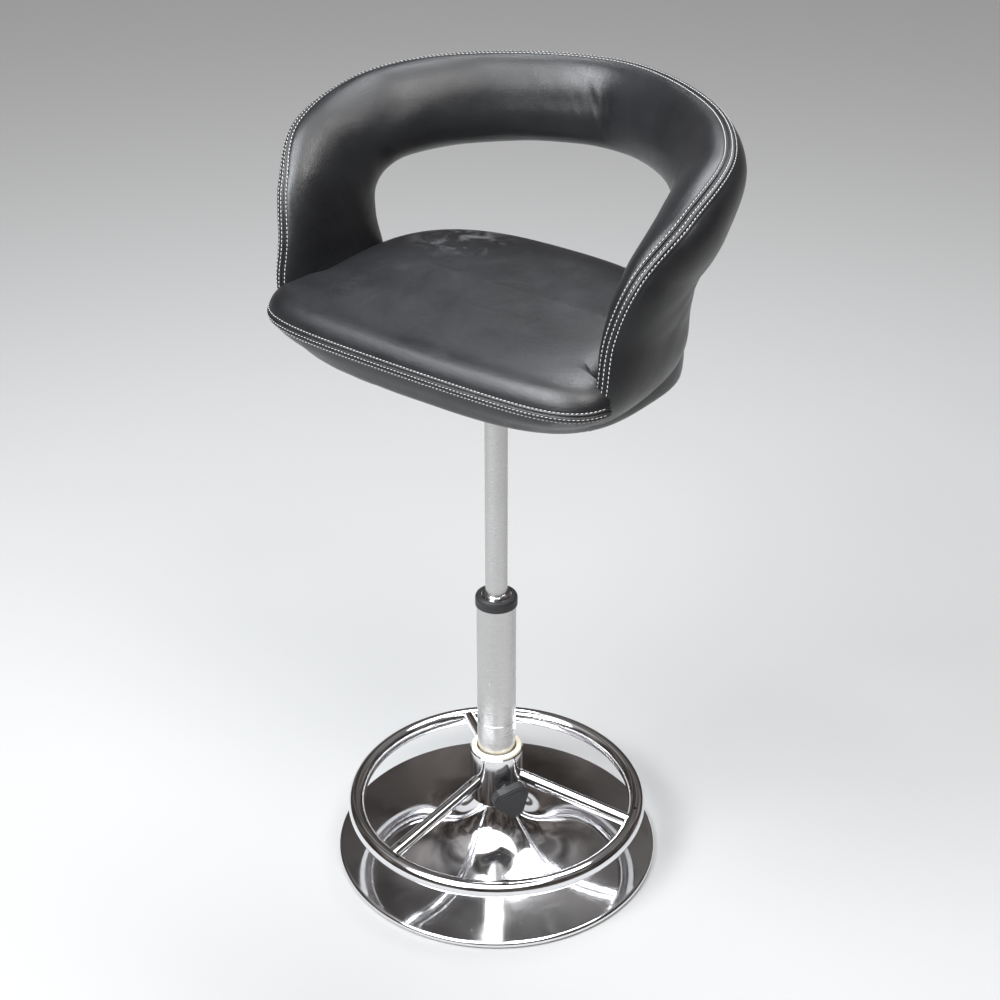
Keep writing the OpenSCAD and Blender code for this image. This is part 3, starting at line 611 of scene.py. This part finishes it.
def loop_back():
    """The padded band with its seam, and the stitches from one arm round to the other."""
    rows, coarse = 420, 70
    seam_reach = 50 * MM                  # beyond this the skin is plain
    t = np.linspace(0.0, 1.0, rows)
    sections = loop_sections(t)
    fine = np.arange(-11 * MM, 13 * MM - SEAM_STEP / 2, SEAM_STEP)
    _, girth = resample(sections, np.zeros((rows, 1)))
    share = (np.arange(coarse) + 0.5) / coarse
    rest = fine[-1] + share[None, :] * (girth[:, None] - (fine[-1] - fine[0]))
    places = np.concatenate([np.tile(fine, (rows, 1)), rest], axis=1)
    grid, _ = resample(sections, places)
    normal = surface_normals(grid)
    grid = grid + normal * (seam_height(places) * (places < seam_reach))[:, :, None]
    wrinkles(grid, normal, t, places / girth[:, None])
    columns = places.shape[1]
    faces = grid_faces(rows, columns)
    faces.append(tuple(range(columns - 1, -1, -1)))
    faces.append(tuple((rows - 1) * columns + j for j in range(columns)))
    pad = mesh_object("loop_back_leather", grid.reshape(-1, 3), faces, materials["black_leather"])
    above_seat = (t > 0.055) & (t < 0.945)
    threads = stitched_rows("loop_back_stitching", grid, normal, above_seat, row_columns(fine))
    return pad, threads


# Each pucker's place along the loop, lean, depth in mm and width.
PUCKERS = ((0.494, 0.06, 1.0, 0.0034), (0.5005, 0.05, 1.3, 0.0028), (0.507, 0.08, 1.2, 0.0032),
           (0.514, 0.03, 1.0, 0.0034), (0.522, 0.05, 0.8, 0.0038), (0.531, 0.02, 0.9, 0.0040),
           (0.541, 0.04, 0.6, 0.0050), (0.470, 0.05, 0.5, 0.0060))
PUCKER_SHARE = 0.74                     # where they lie round the section, as a share of its girth


def wrinkles(grid, normal, t, share):
    """Small puckers on the sitter's side near the middle of the back, and slow unevenness all over."""
    t = t[:, None]
    across = share - PUCKER_SHARE
    for centre, lean, depth, width in PUCKERS:
        offset = t - centre - lean * across
        grid -= normal * (depth * MM * bell(offset, 0, width) * bell(across, 0, 0.10))[:, :, None]
    slow = np.sin(t * 61 + 4 * np.sin(share * 9)) * np.sin(share * 21 + 3 * np.sin(t * 17))
    grid += normal * (0.35 * MM * slow * (share > 0.12))[:, :, None]


# ---- seat ----
WING_END = ARM_Y + 3 * MM               # the wings step in over this length, hidden by the arms
WING_STEP = 6 * MM


def seat_outline(angle, tuck):
    """Plan outline: squarish wings in front of the arms, a waist between them, a round rear.

    Towards the lower edge (tuck from 0 to 1) the wings draw in and their corners turn rounder.
    """
    sn, cs = np.sin(angle), np.cos(angle)
    n = np.where(sn < 0, 6.5 - 3 * tuck, 2.7)
    c, s = signed_power(cs, 2 / n), signed_power(sn, 2 / n)
    y = s * np.where(s < 0, SEAT_FRONT - FRONT_TUCK * tuck, SEAT_REAR)
    step = np.clip((WING_END + WING_STEP - y) / WING_STEP, 0, 1)
    half = SEAT_WAIST + (max(HALF_W - tuck * WING_TUCK, SEAT_WAIST) - SEAT_WAIST) * step
    x = c * half
    bow = FRONT_BOW * (1 - (x / HALF_W) ** 2) * np.clip(-s, 0, 1) * (s < 0)
    return np.stack([x, y - bow], -1)


# Seat's profile up from the hollow underside, over the border and onto the crown:
# share of the outline, height (0 lower edge, 1 seam, 2 crown) and tuck of the outline.
SEAT_PROFILE = [(0.60, 0.0, 1), (0.90, 0.0, 1), (0.965, 0.0, 1), (0.99, 0.10, 0.9), (0.998, 0.36, 0.6),
                (1.0, 0.66, 0.22), (1.0, 1.0, 0.0), (0.992, 1.22, 0), (0.968, 1.50, 0), (0.925, 1.74, 0),
                (0.84, 1.91, 0), (0.68, 1.985, 0), (0.42, 2.0, 0), (0.0, 2.0, 0)]


def seat_levels(x, y):
    """Heights of the seam and of the crown above a point of the outline."""
    front = np.clip(-y / SEAT_FRONT, 0, 1)
    back = np.clip((y + SEAT_FRONT) / (SEAT_FRONT + SEAT_REAR), 0, 1)
    dip = (1 - np.clip(np.abs(x) / HALF_W, 0, 1) ** 2) * front
    seam = SEAT_Z + (40 + 14 * back - 2 * dip) * MM
    crown = SEAT_Z + (79 + 18 * back - 10 * dip) * MM
    return seam, crown


def even_points(outline, columns):
    """The outline resampled to evenly spaced points."""
    closed = np.vstack([outline, outline[:1]])
    along = np.concatenate([[0], np.cumsum(np.linalg.norm(np.diff(closed, axis=0), axis=1))])
    even = np.linspace(0, along[-1], columns, endpoint=False)
    return np.stack([np.interp(even, along, closed[:, k]) for k in range(2)], -1)


def seat_dense(columns, count=700):
    """Fine rings of the seat from its underside to the middle of its crown, as columns by rings by 3,
    with each ring's level and the outline at the seam."""
    tucks = 20
    angle = np.linspace(0, 2 * math.pi, 6000, endpoint=False)
    outlines = np.array([even_points(seat_outline(angle, tuck), columns)
                         for tuck in np.linspace(0, 1, tucks + 1)])
    sn, n = np.sin(angle), np.where(np.sin(angle) < 0, 4.2, 2.7)
    reach = np.where(sn < 0, SEAT_FRONT + FRONT_BOW, SEAT_REAR)
    plain = even_points(np.stack([signed_power(np.cos(angle), 2 / n) * CROWN_HALF_W,
                                  signed_power(sn, 2 / n) * reach], -1), columns)
    shape = spline(SEAT_PROFILE, np.linspace(0, 1, count))
    share, level, tuck = shape[:, 0], shape[:, 1], np.clip(shape[:, 2], 0, 1)
    k = np.minimum((tuck * tucks).astype(int), tucks - 1)
    f = (tuck * tucks - k)[:, None, None]
    # above the seam the winged outline fades into a plain one, so that the crown has no creases
    fade = np.clip((0.985 - share) / 0.2, 0, 1) * (level > 1)
    fade = (fade * fade * (3 - 2 * fade))[:, None, None]
    ring = (outlines[k] * (1 - f) + outlines[k + 1] * f) * (1 - fade) + plain[None] * fade
    xy = (ring * share[:, None, None]).transpose(1, 0, 2)
    seam, crown = seat_levels(xy[:, :, 0], xy[:, :, 1])
    z = np.where(level < 1, SEAT_Z + (seam - SEAT_Z) * level, seam + (crown - seam) * (level - 1))
    return np.concatenate([xy, z[:, :, None]], axis=2), level, outlines[0]


def seat_cover():
    """The seat's leather with its seam, and the stitches from arm to arm along the front."""
    columns = 560
    dense, level, rim = seat_dense(columns)
    length = np.concatenate([np.zeros((columns, 1)),
                             np.cumsum(np.linalg.norm(np.diff(dense, axis=1), axis=2), axis=1)], axis=1)
    seam_at = length[:, int(np.argmin(np.abs(level - 1)))]
    reach = 12 * MM
    fine = np.arange(reach, -reach - 0.1 * MM, -SEAM_STEP)
    below, above = np.linspace(0, 1, 22, endpoint=False), np.linspace(0, 1, 61)[1:-1]
    places = np.concatenate([below[None, :] * (seam_at - reach)[:, None],
                             seam_at[:, None] - fine[None, :],
                             seam_at[:, None] + reach
                             + above[None, :] * (length[:, -1] - seam_at - reach)[:, None]], axis=1)
    grid = np.stack([np.stack([np.interp(places[i], length[i], dense[i, :, k]) for k in range(3)], -1)
                     for i in range(columns)])
    normal = unit(np.cross(np.roll(grid, -1, 0) - np.roll(grid, 1, 0), np.gradient(grid, axis=1)))
    across = seam_at[:, None] - places
    grid = grid + normal * (seam_height(across) * (np.abs(across) < reach))[:, :, None]
    count = grid.shape[1]
    quads = grid_faces(columns, count, closed_columns=False, closed_rows=True)
    faces = [tuple(reversed(f)) for f in quads]
    points = list(grid.reshape(-1, 3))
    points.append(np.array([0, 0, seat_levels(0.0, 0.0)[1]]))
    for i in range(columns):
        k = (i + 1) % columns
        faces.append((i * count + count - 1, k * count + count - 1, len(points) - 1))
    faces.append(tuple(i * count for i in range(columns - 1, -1, -1)))
    seat = mesh_object("seat_leather", points, faces, materials["black_leather"])
    # the stitches run along the front and round both corners, as far as the arms
    order = np.argsort(np.mod(np.arctan2(rim[:, 1], rim[:, 0]) - math.pi / 2, 2 * math.pi))
    front_run = [i for i in order if rim[i, 1] < ARM_Y]
    threads = stitched_rows("seat_stitching", grid, normal, front_run,
                            [len(below) + j for j in row_columns(fine)])
    return seat, threads


# ---- spun base ----
def flare_height(r):
    """The trumpet is a hyperbola from the neck to the rim."""
    bend = 1 / (r + FLARE_SOFT) - 1 / (FLARE_END + FLARE_SOFT)
    whole = 1 / (NECK_R + FLARE_SOFT) - 1 / (FLARE_END + FLARE_SOFT)
    return RIM_H + (NECK_H - COLLAR_H - RIM_H) * bend / whole


def base_cover():
    """The trumpet with finer steps than the CAD solid, so that its polish mirrors without facets."""
    r = NECK_R + (FLARE_END - NECK_R) * np.linspace(0, 1, 110) ** 2
    slope = np.gradient(flare_height(r), r)
    fold = np.sqrt(1 + slope ** 2)
    outside = np.stack([r, flare_height(r)], -1)
    inside = (outside + COVER_T * np.stack([slope / fold, -1 / fold], -1))[::-1]
    inside = inside[inside[:, 0] < FLARE_END - 6 * MM]
    inside[:, 0] = np.maximum(inside[:, 0], NECK_R - COVER_T)
    lip = np.radians(np.linspace(86, -60, 16))
    rim = np.stack([FLARE_END + LIP_R * np.cos(lip), RIM_H - LIP_R + LIP_R * np.sin(lip)], -1)
    back = np.array([(FLARE_END - 1 * MM, 1 * MM), (FLARE_END - 5 * MM, 1 * MM),
                     (FLARE_END - 5 * MM, RIM_H - COVER_T - 1.4 * MM)])
    collar = NECK_R + COLLAR_OUT
    neck = np.array([(NECK_R - COVER_T, NECK_H), (collar - 1 * MM, NECK_H),
                     (collar - 0.3 * MM, NECK_H - 0.3 * MM), (collar, NECK_H - 1 * MM),
                     (collar, NECK_H - COLLAR_H + 1 * MM), (NECK_R + 0.6 * MM, NECK_H - COLLAR_H)])
    profile = np.concatenate([neck, outside[1:], rim, back, inside])
    sides = 256
    turn = np.linspace(0, 2 * math.pi, sides, endpoint=False)
    radius, height = profile[:, :1], np.tile(profile[:, 1:], (1, sides))
    grid = np.stack([radius * np.cos(turn), radius * np.sin(turn), height], -1)
    faces = [tuple(reversed(f)) for f in grid_faces(len(profile), sides, closed_rows=True)]
    return mesh_object("base_skin", grid.reshape(-1, 3), faces, materials["chrome"])


base_skin = base_cover()
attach(base_skin, "base")
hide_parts("base_cover")

loop_leather, loop_thread = loop_back()
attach(loop_leather, "seat")
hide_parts("loop_back")
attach(loop_thread, "seat")

seat_leather, seat_thread = seat_cover()
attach(seat_leather, "seat")
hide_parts("seat_cushion")
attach(seat_thread, "seat")
